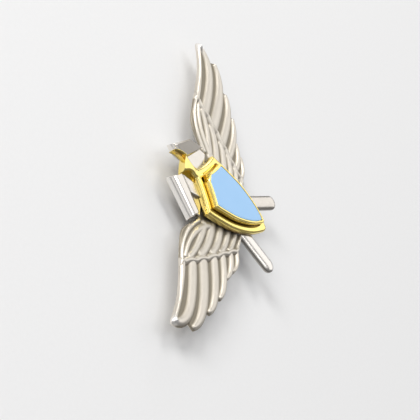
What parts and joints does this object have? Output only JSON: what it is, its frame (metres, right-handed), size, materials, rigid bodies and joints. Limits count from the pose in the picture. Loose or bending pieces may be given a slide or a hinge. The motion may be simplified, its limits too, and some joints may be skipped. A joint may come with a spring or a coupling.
{
  "type": "winged lapel pin",
  "caption": "Winged brooch with feathered silver wings, crossed bars, a crested gold shield with blue enamel, and a hinged pin with a rolling catch.",
  "frame": {"origin": "middle of the badge's outline, on the plane that the brooch fitting's feet rest on", "axes": "+X along the wings towards the hinge end, +Y towards the crest, +Z out of the front of the badge"},
  "size_m": [0.0752, 0.0378, 0.0076],
  "materials": {
    "satin_silver": "satin silver plate, die-struck relief",
    "polished_silver": "polished silver plate with bright bevels",
    "gold": "polished gold plate",
    "blue_enamel": "hard glossy enamel, ground flat",
    "plated_back": "plain nickel plate, lightly scratched",
    "plain_steel": "turned bright steel"
  },
  "bodies": {
    "badge": {"wing_right": "satin_silver", "wing_left": "satin_silver", "bar_right_foot": "polished_silver", "bar_left_foot": "polished_silver", "bar_head_left": "polished_silver", "bar_head_right": "polished_silver", "shield_frame": "gold", "crest": "gold", "inner_shield": "gold", "enamel_field": "blue_enamel", "carrier_plate": "plated_back", "shield_studs": "plain_steel", "stud_washers": "plain_steel", "stud_nuts": "plain_steel", "cross_rivet": "plain_steel", "wing_screws": "plain_steel", "head_screws": "plain_steel", "hinge_bracket": "plated_back", "hinge_rivet": "plain_steel", "catch_body": "plated_back"},
    "pin": {"pin_stem": "plain_steel"},
    "lock": {"catch_rotor": "plated_back"}
  },
  "joints": [
    {"name": "pin_hinge", "type": "hinge", "parent": "badge", "child": "pin", "pos_m": [0.0144, 0.0022, 0.0013], "axis": [0, -1, 0], "range_deg": [0, 100]},
    {"name": "catch_turn", "type": "hinge", "parent": "badge", "child": "lock", "pos_m": [-0.0144, 0.0022, 0.0013], "axis": [-1, 0, 0], "range_deg": [0, 180]}
  ]
}
